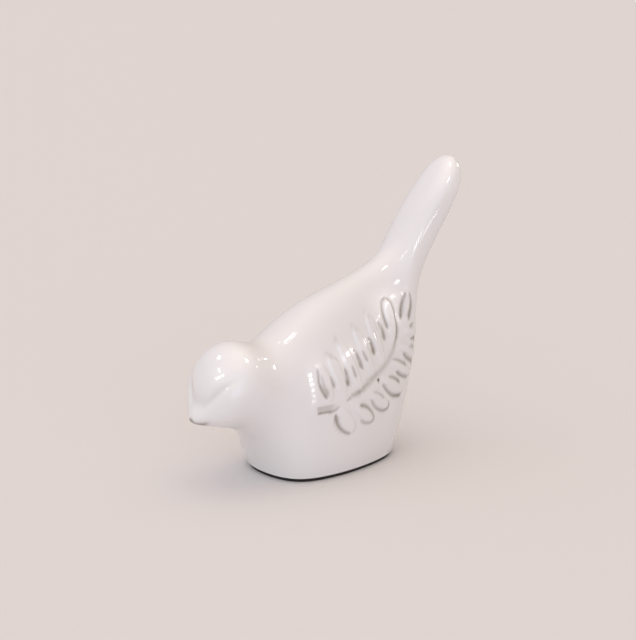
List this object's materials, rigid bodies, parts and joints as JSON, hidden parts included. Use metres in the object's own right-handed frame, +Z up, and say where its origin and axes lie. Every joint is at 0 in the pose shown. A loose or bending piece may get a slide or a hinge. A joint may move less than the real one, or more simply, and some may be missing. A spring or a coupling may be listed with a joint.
{
  "type": "bird figurine",
  "caption": "Small glazed ceramic songbird figurine with a raised blade-shaped tail and a carved fern leaf on each flank, standing on a flat foot.",
  "frame": {"origin": "middle of the flat foot, on the surface the bird stands on", "axes": "the bird faces -Y with its tail to +Y, +Z is up, and +X is its left flank; x = 0 is the mirror plane"},
  "size_m": [0.0454, 0.1266, 0.1084],
  "materials": {
    "glaze": "glossy white glaze"
  },
  "bodies": {
    "root": {"bird": "glaze"}
  },
  "joints": []
}
